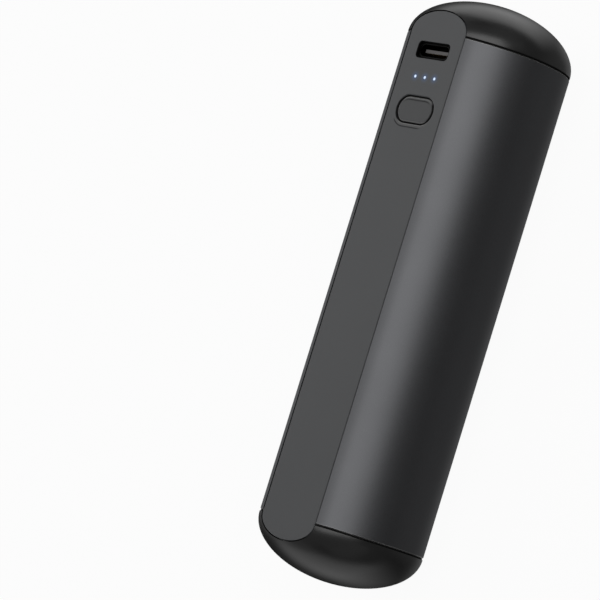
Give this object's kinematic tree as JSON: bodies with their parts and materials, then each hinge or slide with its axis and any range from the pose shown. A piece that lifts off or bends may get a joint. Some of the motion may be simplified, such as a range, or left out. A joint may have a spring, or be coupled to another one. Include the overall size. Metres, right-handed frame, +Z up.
{
  "type": "rechargeable hand warmer",
  "caption": "Capsule-shaped rechargeable hand warmer: a dark metal tube with domed end caps and a flat control strip with a USB-C socket, indicator lamps and a press button.",
  "frame": {"origin": "under the middle of the tube, on the surface that its round back rests on", "axes": "+X along the tube towards the socket end, +Z up out of the control strip, Y across"},
  "size_m": [0.1242, 0.035, 0.0329],
  "materials": {
    "dark_anodised": "matte",
    "cap_plastic": "satin",
    "strip_plastic": "matte",
    "button_plastic": "matte",
    "clear_guide": "gloss",
    "black_tape": "matte",
    "screw_steel": "satin",
    "carrier_plastic": "matte",
    "board_laminate": "satin",
    "socket_steel": "satin",
    "socket_plastic": "matte",
    "contact_gold": "polished",
    "switch_plastic": "matte",
    "switch_steel": "satin",
    "plunger_plastic": "matte",
    "led_lens": "gloss",
    "chip_epoxy": "matte",
    "ferrite": "matte",
    "capacitor_ceramic": "satin",
    "resistor_ceramic": "satin",
    "can_steel": "satin",
    "wound_foil": "matte",
    "cell_sleeve": "gloss",
    "gasket_paper": "matte",
    "nickel": "satin",
    "pad_foam": "matte",
    "red_insulation": "satin",
    "black_insulation": "satin",
    "film_amber": "satin",
    "sensor_epoxy": "gloss",
    "tinned_wire": "satin"
  },
  "bodies": {
    "housing": {"heat_shell": "dark_anodised", "top_cap": "cap_plastic", "bottom_cap": "cap_plastic", "control_strip": "strip_plastic", "strip_tape": "black_tape", "switch_base": "switch_plastic", "switch_cover": "switch_steel", "switch_dome": "switch_steel", "light_guide": "clear_guide", "indicator_leds": "led_lens", "usb_shell": "socket_steel", "usb_tongue": "socket_plastic", "usb_contacts": "contact_gold", "upper_carrier": "carrier_plastic", "lower_carrier": "carrier_plastic", "main_board": "board_laminate", "board_screws": "screw_steel", "cap_screws": "screw_steel", "control_chip": "chip_epoxy", "power_inductor": "ferrite", "power_transistors": "chip_epoxy", "board_capacitors": "capacitor_ceramic", "board_resistors": "resistor_ceramic", "cell_can": "can_steel", "cell_core": "wound_foil", "cell_wrap": "cell_sleeve", "cell_terminal": "can_steel", "cell_gasket": "gasket_paper", "positive_tab": "nickel", "negative_tab": "nickel", "cell_pads": "pad_foam", "positive_lead": "red_insulation", "negative_lead": "black_insulation", "heating_film": "film_amber", "heater_tail": "film_amber", "heat_sensor": "sensor_epoxy", "sensor_leads": "tinned_wire"},
    "button": {"power_button": "button_plastic", "switch_plunger": "plunger_plastic"}
  },
  "joints": [
    {"name": "power_button_press", "type": "slide", "parent": "housing", "child": "button", "axis": [0, 0, -1], "range_m": [0, 0.00025], "stiffness_N_per_m": 2000, "deforming": ["switch_dome"]}
  ]
}
